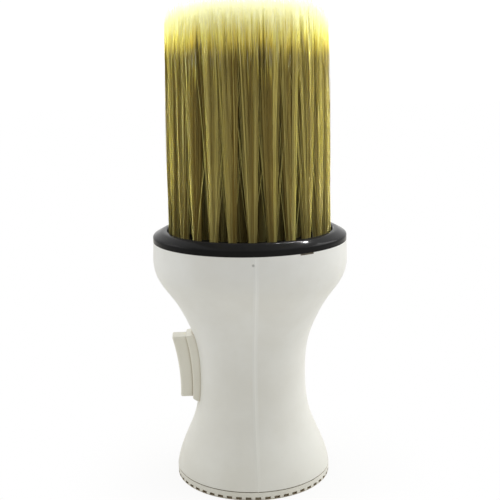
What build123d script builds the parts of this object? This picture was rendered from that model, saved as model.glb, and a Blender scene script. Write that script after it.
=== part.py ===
from build123d import *
from math import degrees
import os

# Neck duster with a powder reservoir in its handle. Millimetres, +Z up towards the bristles.
# Origin: centre of the base, on the handle's axis. The push button faces -X.
# The two handle shells meet on the plane X = 0.

OUTSIDE = 50.0            # well beyond the object's sides

# Handle, a waisted hollow body: (radius, height) stations of its outside
HANDLE_STATIONS = [
    (26.1, 3.0), (24.15, 10.0), (20.0, 20.0), (18.1, 34.5), (20.0, 50.0),
    (22.55, 56.0), (25.95, 62.0), (31.2, 70.0), (32.14, 74.0), (32.1, 78.0), (32.0, 81.3),
]
HANDLE_FOOT = HANDLE_STATIONS[0][1]
HANDLE_TOP = HANDLE_STATIONS[-1][1]
WALL = 1.8
NECK_RADIUS = 22.15       # bore of the threaded filling neck
NECK_DEPTH = 10.5         # height where the neck's bore ends
NECK_STEP = (0.2, 0.6)    # radius lost and height gained where the neck meets the lining
BEAD_WIDTH = 0.5          # weld bead that stands along the parting line
BEAD_HEIGHT = 0.18
PRY_NOTCH = (5.0, 0.45)   # width and height of the notch under the rim ring
PRY_NOTCH_DEPTH = 0.8
PRY_NOTCH_ANGLE = 30.0    # from -Y towards +X

# Screw thread between filler cap and neck, right-handed
PITCH = 4.0
RIDGE_ROOT = 0.75         # half the ridge's width at its root and at its crest
RIDGE_CREST = 0.35
CAP_RIDGE_RADIUS = 21.8
NECK_RIDGE_RADIUS = 20.95
CAP_RIDGE_START = 5.0
CAP_RIDGE_TURNS = 1.0
NECK_RIDGE_START = 4.3
NECK_RIDGE_TURNS = 1.25
RIDGE_OFFSET = 1.1        # the cap's ridge lies this far above the neck's ridge
RIDGE_BED = 0.4           # how deep each ridge is rooted in its wall

# Filler cap
CAP_RADIUS = 26.05
CAP_FLANGE = 2.72
CAP_EDGE = 0.25           # chamfer round the foot
SPIGOT_RADIUS = 20.6
SPIGOT_BORE = 18.6
SPIGOT_TOP = 10.3
SPIGOT_CHAMFER = 0.4
CAP_DISH = (20.0, 1.0)    # radius and depth of the hollow under the cap
GRIP_BAR = (3.4, 0.05)    # width of the finger bar across that hollow, and its height above the foot
NOTCHES = 52
NOTCH_SIZE = (0.9, 1.85, 0.85)
NOTCH_FOOT = 0.3
SEAL_INNER = 22.6
SEAL_OUTER = 24.6
SEAL_THICKNESS = 0.6
SEAL_FOOT = 2.37
SEAL_GROOVE = (0.05, 0.02)   # room beside and under the washer in its groove

# Brush head
RIM_RADIUS = 32.0
RIM_SHOULDER = 82.6       # height where the ring's wall starts to round over
RIM_TOP = 84.9
RIM_BORE = 27.3
RIM_LIP = 0.5             # rounding of the ring's inner edge
SKIRT_RADIUS = 30.1
SKIRT_FOOT = 76.0
SKIRT_BORE = 27.7
LEDGE_RADIUS = 23.5
LEDGE_THICKNESS = 1.5
RIM_GAP = 0.02            # between the ring and the handle's top edge
PLATE_RADIUS = 27.2
PLATE_FOOT = 79.3
PLATE_TOP = 83.8
HEAD_SEAL = (28.9, 30.2, 77.2, 78.6)   # inner and outer radius, foot and top of its groove
HEAD_SEAL_GAP = 0.02
PLATE_CHAMFER = 0.2

# Tufts: (count, radius of the circle at the plate, radius near the tips, height of the tips)
TUFT_RINGS = {
    "tufts_outer_ring": (26, 25.6, 23.8, 153.6),
    "tufts_third_ring": (20, 19.7, 18.0, 156.6),
    "tufts_second_ring": (14, 13.8, 12.2, 157.2),
    "tufts_inner_ring": (7, 7.9, 6.3, 157.5),
}
TUFT_ROOT = 1.3
TUFT_HOLE = 1.4
TUFT_SPREAD = 2.6
TUFT_TIP_ROUND = 1.6
HOLE_FLOOR = 80.3
ANCHOR_SIZE = (2.3, 0.4, 1.1)
ANCHOR_GAP = 0.05         # under the anchor, and between it and the tuft
TUFT_PHASE = -1.2         # the first outer tuft stands this many degrees from -Y towards +X
RING_TURNS = (0, 0.5, 0.25, 0.5)       # part of a step by which each ring is turned, outermost first

# Powder nozzle through the middle of the head, with a valve seat facing the reservoir
THROAT_RADIUS = 3.5
THROAT_BORE = 2.2
THROAT_TOP = 84.4
THROAT_GAP = 0.05         # between the throat and the plate's bore
SIEVE = (2.6, 0.5)        # radius and thickness
SIEVE_RECESS = 0.3        # its top lies this far below the throat's
SIEVE_GAP = 0.02
SIEVE_HOLE = 0.4
SIEVE_CIRCLE = 1.5
FLANGE_RADIUS = 12.2
FLANGE_FOOT = 76.8
FLANGE_TOP = 78.8
CUP_RADIUS = 6.2
CUP_BORE = 4.6
CUP_FOOT = 72.5
SEAT_FOOT = 73.4
HUB_FOOT = 60.0
HUB_TOP = 62.5
CAGE_LEG = (1.3, 1.8)     # thickness and width of the three legs between cup and hub
SCREWS = 3
SCREW_PHASE = 30
SCREW_CIRCLE = 10.5
SCREW_SHANK = 0.8
SCREW_PLAY = 0.1
SCREW_HEAD = (1.45, 1.0)  # radius and height
SCREW_SLOT = (0.4, 0.4)   # width and depth
SCREW_REACH = 3.4         # length within the plate

# Valve
ROD_RADIUS = 1.5
ROD_CLEARANCE = 0.06
ROD_TOP = 74.9
ROD_FOOT = 16.5
PLUG_TOP = 76.0
PLUG_EDGE = 73.8
PLUG_FOOT = 71.5
PLUG_RIM = 0.4            # height of the straight edge under the cone
PLUG_NECK = 2.8           # radius at the foot
PLUG_GAP = 0.02           # between the plug and the rod's end
SEAT_GAP = 0.03
YOKE_FOOT = 31.0
YOKE_TOP = 50.0
YOKE_HALF = (4.0, 3.0)    # half length along X, half width along Y
RAMP_HEIGHT = 38.0        # the 45 degree ramp in the yoke crosses the axis here
RAMP_GAP = 0.07
YOKE_CEILING = 47.6
YOKE_PLAY = 0.1           # beside the wedge in the yoke's window
SPRING_RADIUS = 2.5
SPRING_WIRE = 0.32
SPRING_TURNS = 5
SPRING_GAP = 0.03         # at each end of the spring

# Guide bridge that carries the spring and the rod's lower end
BRIDGE_FOOT = 19.0
BRIDGE_TOP = 22.0
BRIDGE_RADIUS = 17.6
BRIDGE_RIM = 15.8
BRIDGE_HUB = 4.2
BRIDGE_ARMS = 3
BRIDGE_ARM_WIDTH = 2.4
BRIDGE_GAP = 0.03         # between the bridge's rim and each rib
RIB_RADIUS = 16.3         # inner radius of the two ribs that hold the bridge's rim
RIB_ROOT = 18.6           # within the handle's wall
RIB_HEIGHT = 1.5

# Push button, its frame and its wedge
FRAME_HALF = 4.3
FRAME_FACE = [(-20.4, 27.35), (-20.3, 36.0), (-21.3, 45.0), (-22.2, 49.2)]   # (x, height)
FRAME_FOOT = (-18.9, 26.4)
FRAME_TOP = (-18.5, 50.0)
FRAME_BACK = -14.0
FRAME_ROUNDING = 0.6
SLEEVE_HALF = 3.9
SLEEVE_FOOT = 26.9
SLEEVE_TOP = 49.4
SLEEVE_FRONT = -19.0
SLEEVE_END = -15.6
WINDOW_GAP = 0.05
BUTTON_HALF = 2.95
BUTTON_FOOT = 27.7
BUTTON_TOP = 48.8
BUTTON_FACE = [(-24.45, BUTTON_FOOT), (-24.6, 36.5), (-26.9, BUTTON_TOP)]   # (x, height)
BUTTON_SIDE_ROUNDING = 0.9
BUTTON_END_ROUNDING = 0.45
BUTTON_GAP = 0.1
BUTTON_SCREW_PLAY = 0.02
SCREW_HOLE = 4.5          # depth of the blind holes in the button
BUTTON_SEAL = 0.5
BUTTON_FLANGE = (-15.0, -14.0)   # x of its two faces
BUTTON_FLANGE_LIP = 0.7
CHANNEL_END = -10.0       # the window's and the button's openings end here, inside the handle
WEDGE_HALF = 1.2
WEDGE_FOOT = 35.0
WEDGE_TOP = 43.0
WEDGE_TIP = 4.5
WEDGE_PLATE = (2.0, 3.0, 29.0, 47.0)   # thickness, half width, foot and top
WEDGE_SCREW_HEIGHTS = (31.6, 45.2)
WEDGE_SCREW_SHANK = 0.9
WEDGE_SCREW_LENGTH = 6.0
WEDGE_SCREW_HEAD = (1.6, 1.0)          # radius and thickness


def turned(*outline):
    """Solid of revolution about Z from the (radius, height) corners of its half section."""
    return revolve(make_face(Plane.XZ * Polyline(*outline, close=True)), Axis.Z)


def ring(inner, outer, foot, top):
    """Square-sectioned ring about Z."""
    return turned((inner, foot), (outer, foot), (outer, top), (inner, top))


def disc(radius, foot, top):
    """Plain disc or rod about Z."""
    return Pos(0, 0, (foot + top) / 2) * Cylinder(radius, top - foot)


def block(low, high):
    """Box between two opposite corners."""
    size = [b - a for a, b in zip(low, high)]
    centre = [(a + b) / 2 for a, b in zip(low, high)]
    return Pos(*centre) * Box(*size)


def along_x(radius, start, end, height):
    """Plain rod along X, in the plane Y = 0, between two x positions."""
    return Pos((start + end) / 2, 0, height) * Rot(0, 90, 0) * Cylinder(radius, end - start)


def channel(half_width, foot, top):
    """Bar along -X, for the openings that the button works in."""
    return block((-OUTSIDE, -half_width, foot), (CHANNEL_END, half_width, top))


def side_plate(half_width, *outline):
    """Plate across the plane Y = 0 with (x, height) corners."""
    return extrude(make_face(Plane.XZ * Polyline(*outline, close=True)), half_width, both=True)


def around(count, phase, shape):
    """Copies of a shape at equal angles about Z, as a list."""
    return [Rot(0, 0, phase + 360 * k / count) * shape for k in range(count)]


def helical_ridge(root, crest, start, turns, reference):
    """Right-handed ridge about Z; its helix passes through angle 0 at the reference height."""
    inward = crest < root
    path = Helix(PITCH, PITCH * turns, root)
    depth = abs(crest - root)
    section_plane = Plane(origin=path @ 0, x_dir=(-1 if inward else 1, 0, 0), z_dir=path % 0)
    section = make_face(section_plane * Polyline(
        (-RIDGE_BED, -RIDGE_ROOT), (0, -RIDGE_ROOT), (depth, -RIDGE_CREST),
        (depth, RIDGE_CREST), (0, RIDGE_ROOT), (-RIDGE_BED, RIDGE_ROOT), close=True,
    ))
    ridge = sweep(section, path, is_frenet=True)
    turn = 360 * (start - reference) / PITCH
    return Rot(0, 0, turn) * Pos(0, 0, start) * ridge


def handle_curve(offset):
    """Outside curve of the handle, moved outwards by the offset."""
    return Spline(*[(radius + offset, height) for radius, height in HANDLE_STATIONS])


def handle_band(inset, outset):
    """Thin revolved band that follows the handle's outside."""
    inner = handle_curve(-inset)
    outer = handle_curve(outset)
    edges = [inner, outer, Line(inner @ 0, outer @ 0), Line(inner @ 1, outer @ 1)]
    return revolve(make_face([Plane.XZ * edge for edge in edges]), Axis.Z)


def handle_body():
    """The whole welded handle, before it is parted into its two shells."""
    outer = handle_curve(0)
    lining = [(radius - WALL, height) for radius, height in HANDLE_STATIONS[2:]]
    inner = Spline((NECK_RADIUS - NECK_STEP[0], NECK_DEPTH + NECK_STEP[1]), *lining)
    edges = [
        outer,
        Line((HANDLE_STATIONS[0][0], HANDLE_FOOT), (NECK_RADIUS, HANDLE_FOOT)),
        Line((NECK_RADIUS, HANDLE_FOOT), (NECK_RADIUS, NECK_DEPTH)),
        Line((NECK_RADIUS, NECK_DEPTH), inner @ 0),
        inner,
        Line(inner @ 1, outer @ 1),
    ]
    body = revolve(make_face([Plane.XZ * edge for edge in edges]), Axis.Z)
    for foot in (BRIDGE_FOOT - RIB_HEIGHT, BRIDGE_TOP):
        body += ring(RIB_RADIUS, RIB_ROOT, foot, foot + RIB_HEIGHT)
    body += helical_ridge(
        NECK_RADIUS, NECK_RIDGE_RADIUS, NECK_RIDGE_START, NECK_RIDGE_TURNS,
        CAP_RIDGE_START - RIDGE_OFFSET,
    )
    bead_plate = block((-BEAD_WIDTH / 2, -OUTSIDE, HANDLE_FOOT), (BEAD_WIDTH / 2, OUTSIDE, HANDLE_TOP))
    body += handle_band(WALL / 4, BEAD_HEIGHT) & bead_plate
    body -= button_window()
    return body - pry_notch()


def button_window():
    """Opening through the handle's wall that takes the button frame's sleeve."""
    return channel(SLEEVE_HALF + WINDOW_GAP, SLEEVE_FOOT - WINDOW_GAP, SLEEVE_TOP + WINDOW_GAP)


def pry_notch():
    """Small notch in the handle's top edge, where a blade lifts the rim ring."""
    width, height = PRY_NOTCH
    bottom = PRY_NOTCH_DEPTH - RIM_RADIUS
    cutter = block((-width / 2, -OUTSIDE, HANDLE_TOP - height), (width / 2, bottom, HANDLE_TOP + 1))
    return Rot(0, 0, PRY_NOTCH_ANGLE) * cutter


def filler_cap():
    """Screw cap under the handle: flange, threaded spigot, notched edge and finger bar."""
    dish_radius, dish_depth = CAP_DISH
    cap = turned(
        (0, dish_depth), (dish_radius - dish_depth, dish_depth), (dish_radius, 0),
        (CAP_RADIUS - CAP_EDGE, 0), (CAP_RADIUS, CAP_EDGE), (CAP_RADIUS, CAP_FLANGE),
        (SPIGOT_RADIUS, CAP_FLANGE), (SPIGOT_RADIUS, SPIGOT_TOP - SPIGOT_CHAMFER),
        (SPIGOT_RADIUS - SPIGOT_CHAMFER, SPIGOT_TOP), (SPIGOT_BORE, SPIGOT_TOP),
        (SPIGOT_BORE, CAP_FLANGE), (0, CAP_FLANGE),
    )
    bar_width, bar_foot = GRIP_BAR
    bar_top = (dish_depth + CAP_FLANGE) / 2
    bar = block((-dish_radius, -bar_width / 2, bar_foot), (dish_radius, bar_width / 2, bar_top))
    cap += bar & disc(dish_radius + dish_depth, 0, CAP_FLANGE)
    cap += helical_ridge(
        SPIGOT_RADIUS, CAP_RIDGE_RADIUS, CAP_RIDGE_START, CAP_RIDGE_TURNS, CAP_RIDGE_START
    )
    depth, width, height = NOTCH_SIZE
    notch = block(
        (CAP_RADIUS - depth, -width / 2, NOTCH_FOOT),
        (CAP_RADIUS + 1, width / 2, NOTCH_FOOT + height),
    )
    cap -= around(NOTCHES, 0, notch)
    beside, under = SEAL_GROOVE
    return cap - ring(SEAL_INNER - beside, SEAL_OUTER + beside, SEAL_FOOT - under, CAP_FLANGE + 1)


def cap_seal():
    """Flat washer in the cap's groove, squeezed against the handle's foot."""
    return ring(SEAL_INNER, SEAL_OUTER, SEAL_FOOT, SEAL_FOOT + SEAL_THICKNESS)


def rim_ring():
    """Collar that closes the handle's mouth and holds the tuft plate."""
    inner, outer, foot, top = HEAD_SEAL
    wall_top = (RIM_RADIUS, RIM_SHOULDER)
    lip_top = (RIM_BORE + RIM_LIP, RIM_TOP)
    lip_side = (RIM_BORE, RIM_TOP - RIM_LIP)
    shoulder = Spline(wall_top, (31.4, 83.5), (29.8, 84.4), lip_top, tangents=((0, 1), (-1, 0)))
    lip = RadiusArc(lip_top, lip_side, -RIM_LIP)
    wall_foot = HANDLE_TOP + RIM_GAP
    corners = Polyline(
        lip_side, (RIM_BORE, PLATE_FOOT), (LEDGE_RADIUS, PLATE_FOOT),
        (LEDGE_RADIUS, PLATE_FOOT - LEDGE_THICKNESS), (SKIRT_BORE, PLATE_FOOT - LEDGE_THICKNESS),
        (SKIRT_BORE, SKIRT_FOOT), (SKIRT_RADIUS, SKIRT_FOOT), (SKIRT_RADIUS, wall_foot),
        (RIM_RADIUS, wall_foot), wall_top,
    )
    edges = [Plane.XZ * edge for edge in (shoulder, lip, corners)]
    groove = ring(inner, outer + 1, foot, top)
    return revolve(make_face(edges), Axis.Z) - groove


def head_seal():
    """Rubber ring between the collar's skirt and the handle's mouth."""
    inner, outer, foot, top = HEAD_SEAL
    return ring(inner + HEAD_SEAL_GAP, outer, foot + HEAD_SEAL_GAP, top - HEAD_SEAL_GAP)


def tuft_lean(base_radius, tip_radius, tip_height):
    """Angle by which a tuft leans inwards, in degrees."""
    return degrees((base_radius - tip_radius) / (tip_height - HOLE_FLOOR))


def stand_in_hole(shape, count, phase, base_radius, lean):
    """Copies of a shape made about Z at the origin, set in each hole of one ring."""
    placed = Pos(0, -base_radius, HOLE_FLOOR) * Rot(-lean, 0, 0) * shape
    return around(count, phase, placed)


def ring_phase(name):
    """Each ring is turned by part of a step, so that no gaps between tufts line up."""
    order = list(TUFT_RINGS).index(name)
    step = 360 / TUFT_RINGS[name][0]
    return TUFT_PHASE + RING_TURNS[order] * step


def tufts(name):
    """One ring of tufts; each is a closed slender cone standing in its hole."""
    count, base_radius, tip_radius, tip_height = TUFT_RINGS[name]
    length = tip_height - HOLE_FLOOR
    foot = ANCHOR_SIZE[2] + 2 * ANCHOR_GAP
    tuft = turned(
        (0, foot), (TUFT_ROOT, foot), (TUFT_SPREAD, length - TUFT_TIP_ROUND),
        (TUFT_SPREAD - TUFT_TIP_ROUND, length), (0, length),
    )
    lean = tuft_lean(base_radius, tip_radius, tip_height)
    return stand_in_hole(tuft, count, ring_phase(name), base_radius, lean)


def for_each_ring(shape):
    """Copies of a shape in every hole of the plate."""
    placed = []
    for name, (count, base_radius, tip_radius, tip_height) in TUFT_RINGS.items():
        lean = tuft_lean(base_radius, tip_radius, tip_height)
        placed += stand_in_hole(shape, count, ring_phase(name), base_radius, lean)
    return placed


def tuft_anchors():
    """Flat wire anchors, one at the foot of each tuft, that pin its fold in the hole."""
    length, width, height = ANCHOR_SIZE
    return for_each_ring(Pos(0, 0, height / 2 + ANCHOR_GAP) * Box(length, width, height))


def tuft_plate():
    """Disc with one blind hole per tuft, screw holes and a bore for the nozzle."""
    bore = THROAT_RADIUS + THROAT_GAP
    plate = turned(
        (bore, PLATE_FOOT), (PLATE_RADIUS, PLATE_FOOT), (PLATE_RADIUS, PLATE_TOP - PLATE_CHAMFER),
        (PLATE_RADIUS - PLATE_CHAMFER, PLATE_TOP), (bore, PLATE_TOP),
    )
    holes = for_each_ring(disc(TUFT_HOLE, 0, 2 * (PLATE_TOP - HOLE_FLOOR)))
    return plate - holes - screw_holes(0.02, PLATE_FOOT - 1, PLATE_FOOT + SCREW_REACH + 0.2)


def screw_holes(play, foot, top):
    """Cutters for the nozzle's screws."""
    hole = Pos(SCREW_CIRCLE, 0, 0) * disc(SCREW_SHANK + play, foot, top)
    return around(SCREWS, SCREW_PHASE, hole)


def seat_radius(height):
    """Radius of the valve seat's cone at a height."""
    share = (FLANGE_FOOT - height) / (FLANGE_FOOT - SEAT_FOOT)
    return THROAT_BORE + share * (CUP_BORE - THROAT_BORE)


def powder_nozzle():
    """Throat, mounting flange, valve seat and a three-legged cage that guides the rod."""
    sieve_bore = SIEVE[0] + SIEVE_GAP
    sieve_seat = THROAT_TOP - SIEVE_RECESS - SIEVE[1]
    nozzle = turned(
        (THROAT_BORE, FLANGE_FOOT), (CUP_BORE, SEAT_FOOT), (CUP_BORE, CUP_FOOT),
        (CUP_RADIUS, CUP_FOOT), (CUP_RADIUS, FLANGE_FOOT), (FLANGE_RADIUS, FLANGE_FOOT),
        (FLANGE_RADIUS, FLANGE_TOP), (THROAT_RADIUS, FLANGE_TOP), (THROAT_RADIUS, THROAT_TOP),
        (sieve_bore, THROAT_TOP), (sieve_bore, sieve_seat), (THROAT_BORE, sieve_seat),
    )
    nozzle += ring(ROD_RADIUS + ROD_CLEARANCE, CUP_RADIUS, HUB_FOOT, HUB_TOP)
    thickness, width = CAGE_LEG
    leg = block((CUP_RADIUS - thickness, -width / 2, HUB_FOOT), (CUP_RADIUS, width / 2, SEAT_FOOT))
    nozzle += around(3, 90, leg)
    return nozzle - screw_holes(SCREW_PLAY, FLANGE_FOOT - 1, FLANGE_TOP + 1)


def nozzle_gasket():
    """Flat gasket between the nozzle's flange and the tuft plate."""
    gasket = ring(THROAT_RADIUS + 2 * THROAT_GAP, FLANGE_RADIUS, FLANGE_TOP, PLATE_FOOT)
    return gasket - screw_holes(SCREW_PLAY, FLANGE_TOP - 1, PLATE_FOOT + 1)


def nozzle_screws():
    """Three self-tapping screws that hold the nozzle up against the plate."""
    radius, height = SCREW_HEAD
    width, depth = SCREW_SLOT
    foot = FLANGE_FOOT - height
    screw = disc(radius, foot, FLANGE_FOOT) + disc(SCREW_SHANK, FLANGE_FOOT, PLATE_FOOT + SCREW_REACH)
    slot = block((-2 * radius, -width / 2, foot - depth), (2 * radius, width / 2, foot + depth))
    return around(SCREWS, SCREW_PHASE, Pos(SCREW_CIRCLE, 0, 0) * (screw - slot))


def sieve_disc():
    """Perforated disc that meters the powder at the nozzle's mouth."""
    radius, thickness = SIEVE
    foot = THROAT_TOP - SIEVE_RECESS - thickness
    hole = disc(SIEVE_HOLE, foot - 1, foot + thickness + 1)
    return disc(radius, foot, foot + thickness) - [hole] - around(6, 0, Pos(SIEVE_CIRCLE, 0, 0) * hole)


def valve_plug():
    """Soft cone on the rod's top end; it shuts the seat."""
    upper = seat_radius(PLUG_TOP) - SEAT_GAP
    lower = seat_radius(PLUG_EDGE) - SEAT_GAP
    bore = ROD_RADIUS + PLUG_GAP
    return turned(
        (0, PLUG_TOP), (upper, PLUG_TOP), (lower, PLUG_EDGE), (lower, PLUG_EDGE - PLUG_RIM),
        (PLUG_NECK, PLUG_FOOT), (bore, PLUG_FOOT), (bore, ROD_TOP + PLUG_GAP), (0, ROD_TOP + PLUG_GAP),
    )


def valve_rod():
    """Rod with the yoke whose 45 degree ramp the wedge pushes down."""
    length, width = YOKE_HALF
    rod = disc(ROD_RADIUS, YOKE_TOP - 1, ROD_TOP) + disc(ROD_RADIUS, ROD_FOOT, YOKE_FOOT + 1)
    yoke = block((-length, -width, YOKE_FOOT), (length, width, YOKE_TOP))
    side = 2 * length
    window = side_plate(
        WEDGE_HALF + YOKE_PLAY, (-side, RAMP_HEIGHT - side), (side, RAMP_HEIGHT + side),
        (side, YOKE_CEILING), (-side, YOKE_CEILING),
    )
    return rod + (yoke - window)


def push_wedge():
    """Bar behind the button whose 45 degree nose enters the yoke."""
    thickness, half_width, foot, top = WEDGE_PLATE
    back = BUTTON_FLANGE[1]
    front = back + thickness
    slope = RAMP_HEIGHT + RAMP_GAP
    bar = side_plate(
        WEDGE_HALF, (back, WEDGE_FOOT), (WEDGE_FOOT - slope, WEDGE_FOOT),
        (WEDGE_TIP, WEDGE_TIP + slope), (WEDGE_TIP, WEDGE_TOP), (back, WEDGE_TOP),
    )
    wedge = block((back, -half_width, foot), (front, half_width, top)) + bar
    for height in WEDGE_SCREW_HEIGHTS:
        wedge -= along_x(WEDGE_SCREW_SHANK + SCREW_PLAY, back - 1, front + 1, height)
    return wedge


def wedge_screws():
    """Two screws that hold the wedge to the button."""
    front = BUTTON_FLANGE[1] + WEDGE_PLATE[0]
    radius, thickness = WEDGE_SCREW_HEAD
    width, depth = SCREW_SLOT
    end = front + thickness
    screws = []
    for height in WEDGE_SCREW_HEIGHTS:
        shank = along_x(WEDGE_SCREW_SHANK, front - WEDGE_SCREW_LENGTH, front, height)
        head = along_x(radius, front, end, height)
        slot = block((end - depth, -width / 2, height - radius), (end + 1, width / 2, height + radius))
        screws.append(shank + head - slot)
    return screws


def valve_spring():
    """Compression spring between the bridge and the yoke, with closed ends."""
    foot = BRIDGE_TOP + SPRING_WIRE + SPRING_GAP
    rise = YOKE_FOOT - SPRING_GAP - SPRING_WIRE - foot
    path = Helix(rise / SPRING_TURNS, rise, SPRING_RADIUS)
    section = Plane(origin=path @ 0, z_dir=path % 0) * Circle(SPRING_WIRE)
    return Pos(0, 0, foot) * sweep(section, path, is_frenet=True)


def guide_bridge():
    """Spoked ring, held between two ribs of the handle, with the rod's lower guide."""
    foot = BRIDGE_FOOT + BRIDGE_GAP
    top = BRIDGE_TOP - BRIDGE_GAP
    bridge = ring(BRIDGE_RIM, BRIDGE_RADIUS, foot, top) + disc(BRIDGE_HUB, foot, BRIDGE_TOP)
    arm = block(
        (BRIDGE_HUB / 2, -BRIDGE_ARM_WIDTH / 2, foot),
        ((BRIDGE_RIM + BRIDGE_RADIUS) / 2, BRIDGE_ARM_WIDTH / 2, top),
    )
    bridge += around(BRIDGE_ARMS, 90, arm)
    return bridge - disc(ROD_RADIUS + ROD_CLEARANCE, BRIDGE_FOOT - 1, BRIDGE_TOP + 1)


def button_frame():
    """Raised frame on the handle and the sleeve that lines the button's window."""
    outline = Polyline(
        FRAME_FACE[-1], FRAME_TOP, (FRAME_BACK, FRAME_TOP[1]), (FRAME_BACK, FRAME_FOOT[1]), FRAME_FOOT,
        FRAME_FACE[0],
    )
    edges = [Plane.XZ * Spline(*FRAME_FACE), Plane.XZ * outline]
    plate = extrude(make_face(edges), FRAME_HALF, both=True)
    plate = fillet(plate.faces().sort_by(Axis.X)[0].edges(), FRAME_ROUNDING)
    solid_handle = Spline(*HANDLE_STATIONS)
    axis_side = Polyline(solid_handle @ 0, (0, HANDLE_FOOT), (0, HANDLE_TOP), solid_handle @ 1)
    frame = plate - revolve(make_face([Plane.XZ * solid_handle, Plane.XZ * axis_side]), Axis.Z)
    frame += block((SLEEVE_FRONT, -SLEEVE_HALF, SLEEVE_FOOT), (SLEEVE_END, SLEEVE_HALF, SLEEVE_TOP))
    return frame - button_hole()


def button_hole():
    """Opening that the button slides in, through frame and seal."""
    return channel(BUTTON_HALF + BUTTON_GAP, BUTTON_FOOT - BUTTON_GAP, BUTTON_TOP + BUTTON_GAP)


def button_seal():
    """Rubber frame between the sleeve's inner end and the button's flange."""
    outside = block(
        (SLEEVE_END, -SLEEVE_HALF, SLEEVE_FOOT), (SLEEVE_END + BUTTON_SEAL, SLEEVE_HALF, SLEEVE_TOP)
    )
    return outside - button_hole()


def push_button():
    """Thumb piece: its outer face follows the waist; an inner flange keeps it in the frame."""
    inner = (BUTTON_FLANGE[0] + BUTTON_FLANGE[1]) / 2
    sides = Polyline(BUTTON_FACE[-1], (inner, BUTTON_TOP), (inner, BUTTON_FOOT), BUTTON_FACE[0])
    edges = [Plane.XZ * Spline(*BUTTON_FACE), Plane.XZ * sides]
    thumb = extrude(make_face(edges), BUTTON_HALF, both=True)
    long_edges = thumb.faces().sort_by(Axis.X)[0].edges().sort_by(Edge.length)[2:]
    thumb = fillet(long_edges, BUTTON_SIDE_ROUNDING)
    for end in (0, -1):
        outer_edges = thumb.faces().sort_by(Axis.Z)[end].edges().sort_by(Axis.X)[:3]
        thumb = fillet(outer_edges, BUTTON_END_ROUNDING)
    lip = BUTTON_FLANGE_LIP
    flange = block(
        (BUTTON_FLANGE[0], -BUTTON_HALF - lip, BUTTON_FOOT - lip),
        (BUTTON_FLANGE[1], BUTTON_HALF + lip, BUTTON_TOP + lip),
    )
    button = thumb + flange
    end = BUTTON_FLANGE[1]
    for height in WEDGE_SCREW_HEIGHTS:
        button -= along_x(WEDGE_SCREW_SHANK + BUTTON_SCREW_PLAY, end - SCREW_HOLE, end + 1, height)
    return button


def save(name, shape):
    """Write one node as parts/NAME.step, from one solid or a list of separate solids."""
    if isinstance(shape, list):
        shape = Compound(children=[solid for item in shape for solid in item.solids()])
    export_step(shape, f"parts/{name}.step")


os.makedirs("parts", exist_ok=True)

body = handle_body()
save("left_shell", body & block((-50, -50, -10), (0, 50, 200)))
save("right_shell", body & block((0, -50, -10), (50, 50, 200)))
save("filler_cap", filler_cap())
save("cap_seal", cap_seal())
save("rim_ring", rim_ring())
save("head_seal", head_seal())
save("tuft_plate", tuft_plate())
for ring_name in TUFT_RINGS:
    save(ring_name, tufts(ring_name))
save("tuft_anchors", tuft_anchors())
save("powder_nozzle", powder_nozzle())
save("nozzle_gasket", nozzle_gasket())
save("nozzle_screws", nozzle_screws())
save("sieve_disc", sieve_disc())
save("valve_plug", valve_plug())
save("valve_rod", valve_rod())
save("valve_spring", valve_spring())
save("guide_bridge", guide_bridge())
save("button_frame", button_frame())
save("button_seal", button_seal())
save("push_button", push_button())
save("push_wedge", push_wedge())
save("wedge_screws", wedge_screws())
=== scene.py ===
import math

import bpy
import numpy as np
from mathutils import Matrix, Vector


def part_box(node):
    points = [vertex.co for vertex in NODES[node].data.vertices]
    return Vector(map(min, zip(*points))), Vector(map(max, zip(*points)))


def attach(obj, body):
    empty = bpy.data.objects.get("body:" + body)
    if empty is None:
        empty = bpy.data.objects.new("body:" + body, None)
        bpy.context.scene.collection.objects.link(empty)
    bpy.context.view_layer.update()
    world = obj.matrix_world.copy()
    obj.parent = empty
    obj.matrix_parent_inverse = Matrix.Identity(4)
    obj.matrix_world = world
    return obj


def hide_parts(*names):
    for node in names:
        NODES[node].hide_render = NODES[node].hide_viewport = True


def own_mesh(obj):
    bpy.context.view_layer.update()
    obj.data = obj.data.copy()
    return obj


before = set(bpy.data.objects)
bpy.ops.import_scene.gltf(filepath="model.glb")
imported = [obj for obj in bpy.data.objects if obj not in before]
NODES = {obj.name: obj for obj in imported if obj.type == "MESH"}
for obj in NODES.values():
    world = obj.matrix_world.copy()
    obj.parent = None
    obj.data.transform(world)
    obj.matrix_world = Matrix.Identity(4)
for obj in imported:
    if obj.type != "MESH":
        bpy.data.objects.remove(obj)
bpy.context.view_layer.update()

# Neck duster with a powder reservoir in its handle. Metres, +Z up; the push button faces -X.
# The bristles and the valve spring are built here. Every other piece is its CAD part with a material.

MM = 0.001
SEED = 20
WHITE = (1, 1, 1, 1)

# Filaments in each tuft of a ring, and the number of pieces that the ring is shared among. Known fault:
# every piece gets the same number of tufts, so the last two of the outer ring's 26 are not built.
TUFT_RINGS = {
    "tufts_outer_ring": (400, 4),
    "tufts_third_ring": (300, 2),
    "tufts_second_ring": (170, 1),
    "tufts_inner_ring": (230, 1),
}

# One filament
FILAMENT_RADIUS = 0.072 * MM
RADIUS_RANGE = (0.8, 1.25)        # thinnest and thickest filament, as shares of that radius
TIP_RADIUS = 0.016 * MM
TAPER_LENGTH = 15 * MM
TAPER_POWER = 0.7                 # below 1, the taper is blunt
SIDES = 3                         # corners of its cross-section
STATIONS = np.array([0, 0.03, 0.07, 0.16, 0.28, 0.42, 0.57, 0.72, 0.85, 0.94, 1])  # places along it

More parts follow.
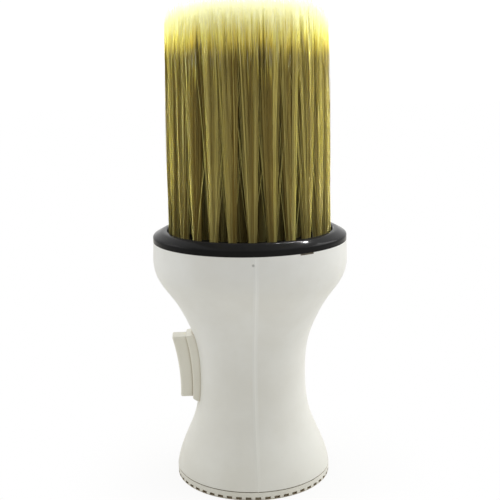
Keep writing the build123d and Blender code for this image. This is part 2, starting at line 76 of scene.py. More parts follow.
# How a tuft spreads between its hole in the plate and the brush's trimmed end
ROOT_RADIUS = 1.2 * MM            # radius of a tuft where it leaves its hole
BRUSH_RADIUS = 26.1 * MM          # outermost reach of the tips
EDGE_SCATTER = 0.25 * MM          # how far the outermost tips fall short of it
RING_STEP = 5.9 * MM              # distance between rings near the tips
FULL_SPREAD = 75 * MM             # height above its foot at which a tuft has its full width
INNER_FAN = 0.5                   # below 1, the inner tufts fan out quickly above the plate
OVERLAP = 1.2                     # width of a tuft's tips along the ring, against that of its own share
TIP_SCATTER = 0.03                # how far a single tip wanders, as a share of half the tuft's width
TUFT_LEAN = 0.4 * MM              # how far a whole tuft's tips stand off their place along the ring
RADIAL_LEAN = 0.4                 # how far across the ring, as a share of that

# Strands that a tuft's filaments gather into
STRANDS = 34
GATHER = 0.66                     # how strongly a filament is drawn to the middle of its strand
STRAND_DRIFT = 0.1                # how far a strand's tips stray, as a share of half the tuft's width
CROSSING_STRANDS = 0.1            # share of strands that lean across their neighbours
CROSSING_REACH = 3.2 * MM         # how far they lean, typically
STRAYS = 0.025                    # share of single filaments that do the same, doubled in the outer ring
STRAY_REACH = 5 * MM

# Sideways bends: bows of a whole tuft, a strand and one filament, and the ripple of one filament
TUFT_BOW = 0.25 * MM
STRAND_BOW = 0.2 * MM
FILAMENT_BOW = 0.16 * MM
RIPPLE = 0.08 * MM

# Height of the trimmed tips above the base, by distance from the axis
DOME_RADII = np.array([0, 15, 18.7, 22, 24.1, 25.4, 26.1]) * MM
DOME_HEIGHTS = np.array([158.2, 158.1, 157.6, 157.0, 156.2, 154.9, 152.8]) * MM
STRAND_TRIM = 0.35 * MM           # how far strands stand above or below that
RAGGED_TRIM = 1.3 * MM            # how far single tips fall short of it
SHORT_FILAMENTS = 0.3             # share of filaments that end lower still
SHORT_DEPTH = 12 * MM             # by up to this much

# Tone of a filament, from 0 for darkest to 1 for lightest; its random dark tones are partly painted
# shade between strands
TONE_SHAPE = 0.8                  # below 1, more strands are at the ends of the range than in its middle
STRAND_TONE = 0.7                 # share of a filament's tone that comes from its strand
# Light that reaches a filament at the plate, and the height above the plate where it has all of it
OUTER_SHADE = (0.62, 14 * MM)
INNER_SHADE = (0.4, 45 * MM)

# Details of the handle
SEAM_HIGHLIGHT_WIDTH = 0.28 * MM           # half width of the painted highlight, a pale line along the seam where the handle's halves meet
SEAM_HIGHLIGHT_FADING = (8 * MM, 32 * MM)  # heights between which that line comes up
FAINTEST_SEAM_HIGHLIGHT = 0.15
SPECK_PLACE = (-0.8 * MM, 0, 78.8 * MM)      # of a moulding speck, seen from the front
SPECK_RADII = (0.2 * MM, 0.55 * MM)          # of its dark middle and of its soft rim
SPECK_STRENGTH = 0.55
# Painted warm light bounced from the floor, strongest towards the handle's foot
FOOT_WARMTH_HEIGHTS = (10 * MM, 55 * MM)        # all of the tint at the first, none at the second
FOOT_WARMTH_TINT = (0.97, 0.96, 0.92, 1)

# Wear, grain and painted crevice shade of the moulded parts; scales are in clouds per metre
MOTTLING = {"scale": 38, "detail": 4, "roughness": 0.6}
SPECKLES = {"scale": 900, "detail": 2}
RUBBING = {"scale": 420, "detail": 5, "roughness": 0.65}
RUBBING_STRETCH = (1, 1, 0.16)    # the rubbed patches are long and upright
WAVINESS = {"scale": 70, "detail": 2}
WAVE_HEIGHT = 6                   # against the height of the grain
CREVICE_REACH = 1.2 * MM          # how near another surface has to be to make a crevice
CREVICE_SHARES = (0.3, 0.85)      # openness that gets the full painted shade, and openness that gets none
# colour that crevices are multiplied by: painted shade
CREVICE_SHADE_TINT = (0.5, 0.42, 0.31, 1)
BLOOM_LIFT = 1.6                  # how much lighter than the rubber its bloom is

# Where the tufts stand, read from the CAD rings
LEVEL_TOLERANCE = 0.1 * MM
GAP_SHARE = 0.4                   # gaps wider than this share of the widest lie between two tufts


# ---------------------------------------------------------------- materials

def new_material(name):
    """Empty node material and its tree."""
    material = bpy.data.materials.new(name)
    material.use_nodes = True
    material.node_tree.nodes.clear()
    return material, material.node_tree


def feed(tree, socket, value):
    """Give an input a value, or link it to another node's output."""
    if isinstance(value, bpy.types.NodeSocket):
        tree.links.new(value, socket)
    else:
        socket.default_value = value


def add(tree, kind, settings=None, **inputs):
    """Shader node; each input is a value or a socket, and an underscore in its name is a space."""
    node = tree.nodes.new("ShaderNode" + kind)
    for key, value in (settings or {}).items():
        setattr(node, key, value)
    for key, value in inputs.items():
        feed(tree, node.inputs[key.replace("_", " ")], value)
    return node


def calculate(tree, operation, *numbers):
    """Result of a maths node on numbers or sockets."""
    node = add(tree, "Math", {"operation": operation})
    for socket, number in zip(node.inputs, numbers):
        feed(tree, socket, number)
    return node.outputs[0]


def vector_maths(tree, operation, *vectors):
    """Outputs, named Vector and Value, of a maths node on vectors or sockets."""
    node = add(tree, "VectorMath", {"operation": operation})
    for socket, vector in zip(node.inputs, vectors):
        feed(tree, socket, vector)
    return node.outputs


def carry_over(tree, value, start, end, at_start=0.0, at_end=1.0, curve="LINEAR"):
    """Number that goes from at_start to at_end while the value goes from start to end."""
    node = add(
        tree, "MapRange", {"interpolation_type": curve},
        Value=value, From_Min=start, From_Max=end, To_Min=at_start, To_Max=at_end,
    )
    return node.outputs[0]


def blend_colours(tree, share, first, second, mode="MIX"):
    """Colour mixed from two colours or sockets."""
    node = add(tree, "Mix", {"data_type": "RGBA", "blend_type": mode})
    for index, value in ((0, share), (6, first), (7, second)):
        feed(tree, node.inputs[index], value)
    return node.outputs[2]


def tint(tree, first, second):
    """Two colours or sockets multiplied."""
    return blend_colours(tree, 1.0, first, second, "MULTIPLY")


def mix_shaders(tree, share, first, second):
    """Shader node that goes from the first shader to the second by a share."""
    node = add(tree, "MixShader", Fac=share)
    tree.links.new(first.outputs[0], node.inputs[1])
    tree.links.new(second.outputs[0], node.inputs[2])
    return node


def noise(tree, place, scale, detail, roughness=0.5, distortion=0.0):
    """Cloudy noise from 0 to 1."""
    node = add(
        tree, "TexNoise",
        Vector=place, Scale=scale, Detail=detail, Roughness=roughness, Distortion=distortion,
    )
    return node.outputs[0]


def ramp(tree, share, stops):
    """Colour ramp through (position, colour) stops."""
    node = tree.nodes.new("ShaderNodeValToRGB")
    node.color_ramp.interpolation = "EASE"
    elements = node.color_ramp.elements
    while len(elements) > 1:
        elements.remove(elements[-1])
    elements[0].position, elements[0].color = stops[0]
    for position, colour in stops[1:]:
        elements.new(position).color = colour
    tree.links.new(share, node.inputs[0])
    return node.outputs[0]


def linear(red, green, blue):
    """Linear colour from display values of 0 to 255."""
    channels = [c / 255 for c in (red, green, blue)]
    return tuple(c / 12.92 if c <= 0.04045 else ((c + 0.055) / 1.055) ** 2.4 for c in channels) + (1.0,)


def finish_material(tree, surface):
    """Connect a shader node to the material's output."""
    output = add(tree, "OutputMaterial")
    tree.links.new(surface.outputs[0], output.inputs["Surface"])


def parting_line(tree, place, tone, unshaded):
    """Tone with a painted highlight, a pale line along the seam where the two halves meet, and one dark
    moulding speck beside it.
    """
    axes = add(tree, "SeparateXYZ", Vector=place)
    offset = calculate(tree, "ABSOLUTE", axes.outputs["X"])
    beside = carry_over(tree, offset, 2 * SEAM_HIGHLIGHT_WIDTH, 4 * SEAM_HIGHLIGHT_WIDTH, 1.0, 0.0)
    tone = blend_colours(tree, beside, tone, unshaded)
    # Painted highlight along the seam bead, fainter towards the foot
    seam_highlight = carry_over(tree, offset, SEAM_HIGHLIGHT_WIDTH / 4, SEAM_HIGHLIGHT_WIDTH, 1.0, 0.0)
    fading = carry_over(tree, axes.outputs["Z"], *SEAM_HIGHLIGHT_FADING, FAINTEST_SEAM_HIGHLIGHT, 1.0)
    seam_highlight = calculate(tree, "MULTIPLY", seam_highlight, fading)
    tone = blend_colours(tree, seam_highlight, tone, linear(242, 243, 240))
    flat = vector_maths(tree, "MULTIPLY", place, (1, 0, 1))["Vector"]
    reach = vector_maths(tree, "DISTANCE", flat, SPECK_PLACE)["Value"]
    spot = carry_over(tree, reach, *SPECK_RADII, SPECK_STRENGTH, 0.0)
    front = calculate(tree, "LESS_THAN", axes.outputs["Y"], 0.0)
    return blend_colours(tree, calculate(tree, "MULTIPLY", spot, front), tone, linear(110, 108, 98))


def painted_foot_warmth(tree, place, tone):
    """Tone that warms slightly towards the handle's foot: painted warm light bounced from the floor."""
    level = add(tree, "SeparateXYZ", Vector=place).outputs["Z"]
    share = carry_over(tree, level, *FOOT_WARMTH_HEIGHTS, 1.0, 0.0)
    return blend_colours(tree, share, tone, tint(tree, tone, FOOT_WARMTH_TINT))


def moulded_plastic(
    name, colour, shade, roughness, grain_size, grain_depth, scuffs, ior=1.49, halves=False,
):
    """Moulded plastic: mottled colour, fine grain, painted shade in crevices, and scuffs that change the
    sheen.
    """
    material, tree = new_material(name)
    place = add(tree, "TexCoord").outputs["Object"]
    tone = ramp(tree, noise(tree, place, **MOTTLING), [(0.3, shade), (0.7, colour)])
    speckles = noise(tree, place, **SPECKLES)
    speckled = ramp(tree, speckles, [(0.66, (0, 0, 0, 1)), (0.74, (0.25, 0.25, 0.25, 1))])
    tone = blend_colours(tree, speckled, tone, shade)
    # Painted shade: colour darkened where other surfaces are near
    openness = add(tree, "AmbientOcclusion", {"samples": 8}, Distance=CREVICE_REACH).outputs["AO"]
    unshaded = carry_over(tree, openness, *CREVICE_SHARES)
    tone = blend_colours(tree, unshaded, tint(tree, tone, CREVICE_SHADE_TINT), tone)
    if halves:
        tone = painted_foot_warmth(tree, place, parting_line(tree, place, tone, colour))
    stretched = add(tree, "Mapping", Vector=place, Scale=RUBBING_STRETCH).outputs[0]
    rubbed = noise(tree, stretched, **RUBBING)
    sheen = carry_over(tree, rubbed, 0.35, 0.7, roughness, roughness + scuffs)
    grain = noise(tree, place, scale=1 / grain_size, detail=3, roughness=0.55)
    wave = noise(tree, place, **WAVINESS)
    height = calculate(tree, "ADD", grain, calculate(tree, "MULTIPLY", wave, WAVE_HEIGHT))
    bump = add(tree, "Bump", Strength=0.5, Distance=grain_depth, Height=height).outputs[0]
    surface = add(tree, "BsdfPrincipled", Base_Color=tone, Roughness=sheen, Normal=bump, IOR=ior)
    finish_material(tree, surface)
    return material


def rubber(name, colour):
    """Matt rubber with a fine paler bloom."""
    material, tree = new_material(name)
    place = add(tree, "TexCoord").outputs["Object"]
    bloom = noise(tree, place, scale=600, detail=4)
    bloomed = tuple(BLOOM_LIFT * channel for channel in colour[:3]) + (1.0,)
    tone = blend_colours(tree, bloom, colour, bloomed)
    bump = add(tree, "Bump", Strength=0.4, Distance=0.03 * MM, Height=bloom).outputs[0]
    surface = add(tree, "BsdfPrincipled", Base_Color=tone, Roughness=0.75, Normal=bump)
    finish_material(tree, surface)
    return material


def drawn_steel(name):
    """Bright drawn wire, sheet or turned screw steel with fine scratches."""
    material, tree = new_material(name)
    place = add(tree, "TexCoord").outputs["Object"]
    streaks = noise(tree, place, scale=3500, detail=3, distortion=1.5)
    tone = ramp(tree, streaks, [(0.3, linear(150, 152, 156)), (0.7, linear(205, 206, 208))])
    sheen = carry_over(tree, streaks, 0.0, 1.0, 0.22, 0.42)
    bump = add(tree, "Bump", Strength=0.3, Distance=0.01 * MM, Height=streaks).outputs[0]
    surface = add(tree, "BsdfPrincipled", Base_Color=tone, Metallic=1.0, Roughness=sheen, Normal=bump)
    finish_material(tree, surface)
    return material


# Colour of a filament by distance from its tip, as a share of the length over which it changes, and
# the darker colour, partly painted shade between strands, that it is multiplied by where its tone is 0
PALING_LENGTH = 24.0              # mm, like the lengths below
FILAMENT_COLOURS = [
    (0.0, linear(255, 254, 240)),
    (0.12, linear(253, 249, 211)),
    (0.29, linear(252, 245, 158)),
    (0.4, linear(233, 217, 119)),
    (0.54, linear(208, 191, 114)),
    (1.0, linear(219, 205, 129)),
]
FILAMENT_SHADES = [
    (0.1, linear(252, 249, 236)),
    (0.32, linear(250, 238, 190)),
    (0.54, linear(122, 103, 72)),
    (1.0, linear(152, 132, 97)),
]
GLOW_LENGTH = 16.0
GLOW = (0.3, 0.6)                 # share of light that passes through, at the tip and below that length
CLEAR_LENGTH = 11.0
TIP_CLEARNESS = 0.5               # share of the tip that is seen through


def filament_material(name):
    """Olive-gold synthetic filament that pales and clears towards its worn tip."""
    material, tree = new_material(name)
    from_tip = add(tree, "Attribute", {"attribute_name": "from_tip"}).outputs["Fac"]
    tone = add(tree, "Attribute", {"attribute_name": "tone"}).outputs["Fac"]
    paling = carry_over(tree, from_tip, 0.0, PALING_LENGTH)
    body = ramp(tree, paling, FILAMENT_COLOURS)
    dark = tint(tree, body, ramp(tree, paling, FILAMENT_SHADES))
    colour = blend_colours(tree, tone, dark, body)
    light = add(tree, "Attribute", {"attribute_name": "light"}).outputs["Fac"]
    grey = add(tree, "CombineColor", Red=light, Green=light, Blue=light).outputs[0]
    colour = tint(tree, colour, grey)
    glossy = add(
        tree, "BsdfPrincipled", Base_Color=colour, Roughness=0.54, IOR=1.22, Specular_Tint=colour,
    )
    glow = add(tree, "BsdfTranslucent", Color=tint(tree, colour, linear(245, 255, 240)))
    fibre = mix_shaders(tree, carry_over(tree, from_tip, 0.0, GLOW_LENGTH, *GLOW), glossy, glow)
    clearing = carry_over(tree, from_tip, 0.0, CLEAR_LENGTH, TIP_CLEARNESS, 0.0)
    finish_material(tree, mix_shaders(tree, clearing, fibre, add(tree, "BsdfTransparent")))
    return material


# ---------------------------------------------------------------- bristles

def points_of(node):
    """A CAD node's vertices as an array."""
    mesh = NODES[node].data
    flat = np.empty(len(mesh.vertices) * 3)
    mesh.vertices.foreach_get("co", flat)
    return flat.reshape(-1, 3)


def centres_at(points, level):
    """Centres of the separate solids of a ring at a level, in order round the axis."""
    near = points[np.abs(points[:, 2] - level) < LEVEL_TOLERANCE]
    order = np.argsort(np.arctan2(near[:, 1], near[:, 0]))
    near = near[order]
    angles = np.arctan2(near[:, 1], near[:, 0])
    gaps = np.diff(np.append(angles, angles[0] + 2 * math.pi))
    solids = int(np.sum(gaps > GAP_SHARE * gaps.max()))
    breaks = np.sort(np.argsort(gaps)[-solids:]) + 1
    near = np.roll(near, -breaks[-1], axis=0)
    groups = np.split(near, np.sort((breaks - breaks[-1]) % len(near))[1:])
    return np.array([(g.min(0) + g.max(0)) / 2 for g in groups])


def disc_to_square(points):
    """Spread points of the unit disc over the square from -1 to 1, keeping neighbours together."""
    reach = np.linalg.norm(points, axis=1, keepdims=True)
    largest = np.abs(points).max(axis=1, keepdims=True)
    return points * reach / np.maximum(largest, 1e-9)


def random_disc(rng, count):
    """Points spread evenly at random over the unit disc."""
    angle = rng.uniform(0, 2 * math.pi, count)
    reach = np.sqrt(rng.uniform(0, 1, count))
    return np.stack([reach * np.cos(angle), reach * np.sin(angle)], axis=1)


def spread_tips(rng, start, strand, top, count, innermost, outermost):
    """Each tip's distance from the axis and its bearing, and whether it strays from its tuft."""
    filaments = len(start)
    drift = rng.normal(0, STRAND_DRIFT, (STRANDS, 2))[strand]
    scatter = rng.normal(0, TIP_SCATTER, (filaments, 2))
    spread = disc_to_square(start) * (1.0, OVERLAP) + drift + scatter
    top_radius = math.hypot(top[0], top[1])
    reach_in = top_radius if innermost else RING_STEP / 2
    radial = np.where(spread[:, 0] < 0, spread[:, 0] * reach_in, spread[:, 0] * RING_STEP / 2)
    lean = rng.normal(0, TUFT_LEAN, 2) * (RADIAL_LEAN, 1)
    edge = BRUSH_RADIUS - np.abs(rng.normal(0, EDGE_SCATTER, filaments))
    reach = np.minimum(top_radius + radial + lean[0], edge)
    crossing = (rng.uniform(0, 1, STRANDS) < CROSSING_STRANDS)[strand]
    stray = rng.uniform(0, 1, filaments) < (2 * STRAYS if outermost else STRAYS)
    swing = spread[:, 1] * math.pi / count + lean[1] / top_radius
    swing += np.where(crossing, rng.normal(0, CROSSING_REACH, STRANDS)[strand], 0) / top_radius
    swing += np.where(stray, rng.normal(0, STRAY_REACH, filaments), 0) / top_radius
    return reach, math.atan2(top[1], top[0]) + swing, stray | crossing


def trimmed_heights(rng, reach, strand):
    """Height of each tip: the domed trim, less the wear of single filaments."""
    filaments = len(reach)
    heights = np.interp(np.abs(reach), DOME_RADII, DOME_HEIGHTS)
    heights += rng.normal(0, STRAND_TRIM, STRANDS)[strand]
    heights -= np.abs(rng.normal(0, RAGGED_TRIM, filaments))
    short = rng.uniform(0, 1, filaments) < SHORT_FILAMENTS
    return np.where(short, heights - rng.uniform(0, SHORT_DEPTH, filaments), heights)


def tuft_paths(rng, foot, top, count, filaments, innermost, outermost):
    """Centre lines, radii, distances from the tip and tones of one tuft's filaments."""
    start = random_disc(rng, filaments)
    strands = random_disc(rng, STRANDS)
    strand = np.argmin(np.linalg.norm(start[:, None] - strands[None], axis=2), axis=1)
    reach, bearing, straying = spread_tips(rng, start, strand, top, count, innermost, outermost)
    tip = np.stack([reach * np.cos(bearing), reach * np.sin(bearing)], axis=1)
    top_radius = math.hypot(top[0], top[1])
    outward = top[:2] / top_radius
    sideways = np.array([-outward[1], outward[0]])
    base = foot[:2] + ROOT_RADIUS * (start[:, :1] * outward + start[:, 1:] * sideways)

    tip_height = trimmed_heights(rng, reach, strand)
    rise = (tip_height - foot[2])[:, None] * STATIONS[None, :]
    share = (rise / FULL_SPREAD)[:, :, None]
    if not outermost:
        share = share ** INNER_FAN
    plan = base[:, None, :] + (tip - base)[:, None, :] * share
    pull = GATHER * (strands[strand] - start)
    half_width = math.pi * top_radius / count
    pull = pull[:, :1] * outward * RING_STEP / 2 + pull[:, 1:] * sideways * half_width
    plan = plan + pull[:, None, :] * share * (1 - share ** 3)
    bow = rng.normal(0, TUFT_BOW, (1, 1, 2)) + rng.normal(0, STRAND_BOW, (STRANDS, 1, 2))[strand]
    bow = bow + rng.normal(0, FILAMENT_BOW, (filaments, 1, 2))
    ripple = rng.normal(0, RIPPLE, (filaments, 1, 2))
    along = STATIONS[None, :, None]
    plan = plan + bow * np.sin(math.pi * along) + ripple * np.sin(3 * math.pi * along)
    path = np.concatenate([plan, (foot[2] + rise)[:, :, None]], axis=2)

    from_tip = tip_height[:, None] - path[:, :, 2]
    thickness = FILAMENT_RADIUS * rng.uniform(*RADIUS_RANGE, filaments)[:, None]
    taper = np.clip(from_tip / TAPER_LENGTH, 0, 1) ** TAPER_POWER
    radius = TIP_RADIUS + (thickness - TIP_RADIUS) * taper
    strand_tone = rng.beta(TONE_SHAPE, TONE_SHAPE, STRANDS)[strand]
    tone = STRAND_TONE * strand_tone + (1 - STRAND_TONE) * rng.uniform(0, 1, filaments)
    return path, radius, from_tip, np.where(straying, 1.0, tone)


def tube_mesh(name, path, radius, values, rng):
    """One mesh of closed tubes along centre lines; values holds one number per station and name."""
    filaments, stations = path.shape[:2]
    turn = rng.uniform(0, 2 * math.pi, filaments)[:, None, None]
    angle = turn + (2 * math.pi * np.arange(SIDES) / SIDES)[None, None, :]
    corner = np.stack([np.cos(angle), np.sin(angle), np.zeros_like(angle)], axis=3)
    points = path[:, :, None, :] + radius[:, :, None, None] * corner
    index = np.arange(filaments * stations * SIDES).reshape(filaments, stations, SIDES)
    following = np.roll(index, -1, axis=2)
    quads = np.stack([index[:, :-1], following[:, :-1], following[:, 1:], index[:, 1:]], axis=3)
    feet = index[:, 0, ::-1]
    tips = index[:, -1]
    corners = np.concatenate([quads.ravel(), feet.ravel(), tips.ravel()])
    sizes = np.concatenate([np.full(quads.size // 4, 4), np.full(len(feet) + len(tips), SIDES)])
    starts = np.concatenate([[0], np.cumsum(sizes)[:-1]])
    mesh = bpy.data.meshes.new(name)
    mesh.vertices.add(index.size)
    mesh.vertices.foreach_set("co", points.ravel())
    mesh.loops.add(len(corners))
    mesh.loops.foreach_set("vertex_index", corners.astype(np.int32))
    mesh.polygons.add(len(sizes))
    mesh.polygons.foreach_set("loop_start", starts.astype(np.int32))
    mesh.update(calc_edges=True)
    mesh.shade_smooth()
    for key, value in values.items():
        attribute = mesh.attributes.new(key, "FLOAT", "POINT")
        attribute.data.foreach_set("value", np.repeat(value.ravel(), SIDES).astype(np.float32))
    return mesh


def place_piece(name, mesh, node):
    """Object on the handle that stands in for a CAD node."""
    piece = bpy.data.objects.new(name, mesh)
    bpy.context.scene.collection.objects.link(piece)
    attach(piece, "handle")
    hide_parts(node)
    return piece


def build_ring(node, filaments, shares, material, bristles):
    """Filaments of one ring of tufts, in a few pieces of equally many tufts that stand for its node."""
    rng = np.random.default_rng(SEED + list(TUFT_RINGS).index(node))
    low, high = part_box(node)
    feet = centres_at(points_of(node), low.z)
    tops = centres_at(points_of(node), high.z)
    innermost, outermost = node == "tufts_inner_ring", node == "tufts_outer_ring"
    tufts = [
        tuft_paths(rng, foot, top, len(feet), filaments, innermost, outermost)
        for foot, top in zip(feet, tops)
    ]
    plate_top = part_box("tuft_plate")[1].z
    darkest, shaded_height = OUTER_SHADE if outermost else INNER_SHADE
    each = len(tufts) // shares    # tufts left over by this division are not built
    for number in range(shares):
        group = tufts[number * each:(number + 1) * each]
        path, radius, from_tip, tone = [np.concatenate(part) for part in zip(*group)]
        lit = np.clip((path[:, :, 2] - plate_top) / shaded_height, 0, 1)
        values = {
            "from_tip": from_tip / MM,
            "light": darkest + (1 - darkest) * lit,
            "tone": np.repeat(tone[:, None], path.shape[1], axis=1),
        }
        name = f"{node.replace('tufts', 'bristles')}_{number + 1}"
        mesh = tube_mesh(name, path, radius, values, rng)
        mesh.materials.append(material)
        bristles.objects.link(place_piece(name, mesh, node))


def build_bristles():
    """All rings of tufts; returns the collection that the brush's own lights shine on."""
    bristles = bpy.data.collections.new("bristles")
    material = filament_material("filament")
    for node, (filaments, shares) in TUFT_RINGS.items():
        build_ring(node, filaments, shares, material, bristles)
    return bristles


# ---------------------------------------------------------------- valve spring

WIRE_RADIUS = 0.32 * MM
SPRING_TURNS = 5
STEPS_PER_TURN = 36
WIRE_SIDES = 10


def build_spring(material):
    """Coil between bridge and yoke, built at one length; the real one shortens as the valve opens."""
    low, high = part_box("valve_spring")
    coil_radius = (high.x - low.x) / 2 - WIRE_RADIUS
    foot, top = low.z + WIRE_RADIUS, high.z - WIRE_RADIUS
    angle = 2 * math.pi * np.arange(SPRING_TURNS * STEPS_PER_TURN + 1) / STEPS_PER_TURN
    height = foot + (top - foot) * angle / angle[-1]
    centre = np.stack([coil_radius * np.cos(angle), coil_radius * np.sin(angle), height], axis=1)
    outward = np.stack([np.cos(angle), np.sin(angle), np.zeros_like(angle)], axis=1)
    upward = np.array([0, 0, 1.0])
    around = (2 * math.pi * np.arange(WIRE_SIDES) / WIRE_SIDES)[None, :, None]
    section = np.cos(around) * outward[:, None] + np.sin(around) * upward
    points = (centre[:, None] + WIRE_RADIUS * section).reshape(-1, 3)
    faces = []
    for ring in range(0, len(points) - WIRE_SIDES, WIRE_SIDES):
        for side in range(WIRE_SIDES):
            first, second = ring + side, ring + (side + 1) % WIRE_SIDES
            faces.append((first, first + WIRE_SIDES, second + WIRE_SIDES, second))
    faces.append(tuple(range(WIRE_SIDES)))
    faces.append(tuple(range(len(points) - 1, len(points) - WIRE_SIDES - 1, -1)))
    mesh = bpy.data.meshes.new("valve_coil")
    mesh.from_pydata(points.tolist(), [], faces)
    mesh.shade_smooth()
    mesh.materials.append(material)
    coil = place_piece("valve_coil", mesh, "valve_spring")
    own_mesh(coil)


# ---------------------------------------------------------------- stage

FLOOR_HALF = 3.0                  # half the floor's width
FLOOR_COLOUR = (0.76, 0.745, 0.7, 1)
FLOOR_WHITENESS = 0.9             # share of pure white that the camera sees in it at the brush's foot
WHITENING = (20 * MM, 70 * MM)    # distances from the axis between which that share rises to 1
WORLD_STRENGTHS = (0.5, 1.02)     # light from the camera's side and from behind the object
BACKDROP_STRENGTH = 1.05          # what the camera sees, just past white

# Soft boxes by name: place, target, size and power
SIDE_BOXES = {
    "left_box": ((-0.55, 0.2, 0.45), (0, 0, 0.09), (0.5, 0.3), 0.95),
    "right_box": ((0.5, 0.15, 0.45), (0, 0, 0.09), (0.5, 0.3), 2.1),
}
BRISTLE_BOXES = {
    "tip_box": ((0, 0.05, 0.6), (0, 0, 0.15), (0.5, 0.5), 1.2),
    "fill_box": ((0.1, -0.5, 0.35), (0, 0, 0.12), (0.4, 0.3), 2.75),
}
EDGE_BOXES = {
    "left_edge_box": ((-0.36, 0.22, 0.1), (0, 0, 0.095), (0.5, 0.12), 0.8),
    "right_edge_box": ((0.36, 0.22, 0.1), (0, 0, 0.095), (0.5, 0.12), 1.0),
}
EDGE_SPREAD = 40                  # degrees
EDGE_COLOUR = (0.94, 1.0, 0.87)
GLINT_STRIP = ((0.115, 0.216, 0.381), (0.013, -0.027, 0.084), (0.12, 0.005), 2.2)

CAMERA_DISTANCE = 301.92 * MM     # from the brush's axis
CAMERA_HEIGHT = 137.52 * MM       # above the base
CAMERA_AZIMUTH = math.radians(3.0)
CAMERA_PITCH = math.radians(11.291)
CAMERA_ROLL = math.radians(0.947)
SENSOR_WIDTH = 36
FOCAL_SHARE = 1.84606             # focal length as a share of the sensor's width


def build_floor():
    """Pale plain floor that looks white to the camera and dims a little under the brush."""
    mesh = bpy.data.meshes.new("floor")
    corners = [(x * FLOOR_HALF, y * FLOOR_HALF, 0) for x, y in ((-1, -1), (1, -1), (1, 1), (-1, 1))]
    mesh.from_pydata(corners, [], [(0, 1, 2, 3)])
    floor = bpy.data.objects.new("floor", mesh)
    bpy.context.scene.collection.objects.link(floor)
    material, tree = new_material("floor_white")
    matt = add(tree, "BsdfDiffuse", Color=FLOOR_COLOUR)
    bright = add(tree, "Emission", Color=WHITE, Strength=1.0)
    seen = add(tree, "LightPath").outputs["Is Camera Ray"]
    place = add(tree, "TexCoord").outputs["Object"]
    distance = vector_maths(tree, "LENGTH", place)["Value"]
    whiteness = carry_over(tree, distance, *WHITENING, FLOOR_WHITENESS, 1.0, "SMOOTHSTEP")
    share = calculate(tree, "MULTIPLY", seen, whiteness)
    finish_material(tree, mix_shaders(tree, share, matt, bright))
    mesh.materials.append(material)


def build_world():
    """White surroundings: bright behind the object, dimmer on the camera's side."""
    world = bpy.data.worlds.new("studio")
    bpy.context.scene.world = world
    world.use_nodes = True
    tree = world.node_tree
    tree.nodes.clear()
    axes = add(tree, "SeparateXYZ", Vector=add(tree, "TexCoord").outputs["Generated"])
    strength = carry_over(tree, axes.outputs["Y"], -1.0, 1.0, *WORLD_STRENGTHS)
    lighting = add(tree, "Background", Color=WHITE, Strength=strength)
    backdrop = add(tree, "Background", Color=WHITE, Strength=BACKDROP_STRENGTH)
    seen = add(tree, "LightPath").outputs["Is Camera Ray"]
    mixed = mix_shaders(tree, seen, lighting, backdrop)
    output = add(tree, "OutputWorld")
    tree.links.new(mixed.outputs[0], output.inputs["Surface"])


def area_light(name, place, target, size, power, only=None, spread=180):
    """Rectangular soft box aimed at a target; it may light one collection only."""
    light = bpy.data.lights.new(name, "AREA")
    light.shape = "RECTANGLE"
    light.size, light.size_y = size
    light.energy = power
    light.spread = math.radians(spread)
    lamp = bpy.data.objects.new(name, light)
    lamp.location = place
    aim = Vector(target) - Vector(place)
    lamp.rotation_euler = aim.to_track_quat("-Z", "Y").to_euler()
    lamp.light_linking.receiver_collection = only
    bpy.context.scene.collection.objects.link(lamp)
    return lamp


def build_lights(bristles):
    """Boxes on both sides, boxes for the bristles alone, and a strip for the collar's glint alone."""
    for name, box in SIDE_BOXES.items():
        area_light(name, *box)
    for name, box in BRISTLE_BOXES.items():
        area_light(name, *box, only=bristles)
    for name, box in EDGE_BOXES.items():
        lamp = area_light(name, *box, only=bristles, spread=EDGE_SPREAD)
        lamp.data.color = EDGE_COLOUR
    collar = bpy.data.collections.new("collar")
    collar.objects.link(NODES["rim_ring"])
    glint = area_light("glint_box", *GLINT_STRIP, only=collar)
    glint.light_linking.blocker_collection = collar


def build_camera():
    """Camera in front of the brush, level with its bristles and looking slightly down."""
    azimuth, pitch, roll = CAMERA_AZIMUTH, CAMERA_PITCH, CAMERA_ROLL
    forward = Vector((
        math.sin(azimuth) * math.cos(pitch), math.cos(azimuth) * math.cos(pitch), -math.sin(pitch),
    ))
    level = Vector((math.cos(azimuth), -math.sin(azimuth), 0))
    upright = level.cross(forward)
    right = math.cos(roll) * level - math.sin(roll) * upright
    up = math.sin(roll) * level + math.cos(roll) * upright
    data = bpy.data.cameras.new("camera")
    data.sensor_width = SENSOR_WIDTH
    data.lens = SENSOR_WIDTH * FOCAL_SHARE
    data.clip_start = 0.01
    camera = bpy.data.objects.new("camera", data)
    rotation = Matrix((right, up, -forward)).transposed().to_4x4()
    place = Vector((
        -CAMERA_DISTANCE * math.sin(azimuth), -CAMERA_DISTANCE * math.cos(azimuth), CAMERA_HEIGHT,
    ))
    camera.matrix_world = Matrix.Translation(place) @ rotation
    bpy.context.scene.collection.objects.link(camera)
    bpy.context.scene.camera = camera


# ---------------------------------------------------------------- CAD parts

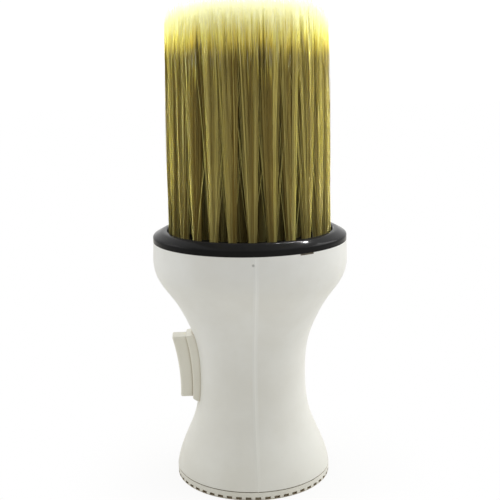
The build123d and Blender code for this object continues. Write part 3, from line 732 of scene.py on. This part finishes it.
def paint(material, *names):
    """Give CAD nodes a finished material."""
    for name in names:
        mesh = NODES[name].data
        mesh.materials.clear()
        mesh.materials.append(material)


def paint_parts(steel):
    """Materials of all the pieces that keep their CAD shape."""
    white_finish = {"roughness": 0.34, "grain_size": 0.25 * MM, "grain_depth": 0.012 * MM, "scuffs": 0.1}
    shell_white = moulded_plastic(
        "shell_white", linear(235, 236, 233), linear(228, 228, 223), **white_finish, halves=True,
    )
    cap_white = moulded_plastic(
        "cap_white", linear(232, 231, 222), linear(224, 222, 211), **white_finish,
    )
    cream = moulded_plastic(
        "cream_shell", linear(234, 232, 220), linear(227, 224, 210),
        roughness=0.42, grain_size=0.22 * MM, grain_depth=0.014 * MM, scuffs=0.12,
    )
    black = moulded_plastic(
        "black_gloss", linear(33, 33, 33), linear(26, 26, 26),
        roughness=0.06, grain_size=0.3 * MM, grain_depth=0.004 * MM, scuffs=0.05, ior=1.12,
    )
    natural = moulded_plastic(
        "natural_plastic", linear(226, 224, 214), linear(214, 211, 199),
        roughness=0.45, grain_size=0.3 * MM, grain_depth=0.01 * MM, scuffs=0.1,
    )
    seal = rubber("seal_rubber", linear(44, 44, 45))
    paint(shell_white, "left_shell", "right_shell")
    paint(cap_white, "filler_cap")
    paint(cream, "button_frame", "push_button")
    paint(black, "rim_ring", "tuft_plate")
    paint(natural, "powder_nozzle", "valve_rod", "guide_bridge", "push_wedge")
    paint(seal, "cap_seal", "head_seal", "nozzle_gasket", "button_seal", "valve_plug")
    paint(steel, "tuft_anchors", "nozzle_screws", "sieve_disc", "wedge_screws")


def set_render():
    """Plain display colours, and enough bounces for light to find its way through the bristles."""
    scene = bpy.context.scene
    scene.view_settings.view_transform = "Standard"
    scene.cycles.max_bounces = 24
    scene.cycles.diffuse_bounces = 12
    scene.cycles.transparent_max_bounces = 48


bright_steel = drawn_steel("drawn_steel")
paint_parts(bright_steel)
brush = build_bristles()
build_spring(bright_steel)
build_floor()
build_world()
build_lights(brush)
build_camera()
set_render()
